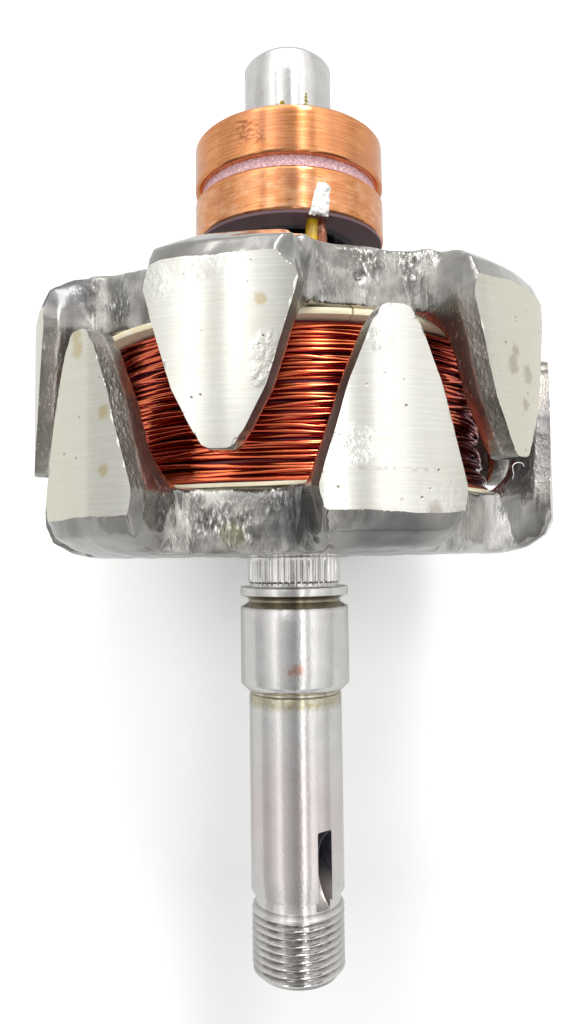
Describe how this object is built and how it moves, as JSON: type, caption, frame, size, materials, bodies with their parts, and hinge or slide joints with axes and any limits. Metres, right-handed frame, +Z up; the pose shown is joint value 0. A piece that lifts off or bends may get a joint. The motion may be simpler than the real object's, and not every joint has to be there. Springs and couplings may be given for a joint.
{
  "type": "alternator rotor",
  "caption": "Claw-pole alternator rotor: turned shaft with two forged claw poles over a copper field winding, and two slip rings.",
  "frame": {"origin": "on the shaft's axis, in the middle of the drive-end bearing seat", "axes": "+Y along the shaft from the thread to the slip rings, +Z up as the rotor lies on its claws"},
  "size_m": [0.0926, 0.1693, 0.0926],
  "materials": {
    "shaft_steel": "ground and turned",
    "varnished_forging": "black varnish over a forging, bare turned steel on the claw faces",
    "core_steel": "turned",
    "bobbin_card": "pressed board",
    "enamelled_wire": "enamelled copper wire, red-brown and glossy",
    "hub_moulding": "moulded, dull",
    "ring_copper": "turned copper, brushed",
    "lead_sleeve": "yellow varnished sleeving",
    "lead_wire": "enamelled copper wire",
    "solder": "soft solder, dull"
  },
  "bodies": {
    "root": {"shaft": "shaft_steel", "drive_end_pole": "varnished_forging", "ring_end_pole": "varnished_forging", "core": "core_steel", "bobbin_tube": "bobbin_card", "drive_end_flange": "bobbin_card", "ring_end_flange": "bobbin_card", "field_winding": "enamelled_wire", "slip_ring_hub": "hub_moulding", "inner_slip_ring": "ring_copper", "outer_slip_ring": "ring_copper", "near_lead_sleeve": "lead_sleeve", "far_lead_sleeve": "lead_sleeve", "near_lead_wire": "lead_wire", "far_lead_wire": "lead_wire", "solder_joint": "solder"}
  },
  "joints": []
}
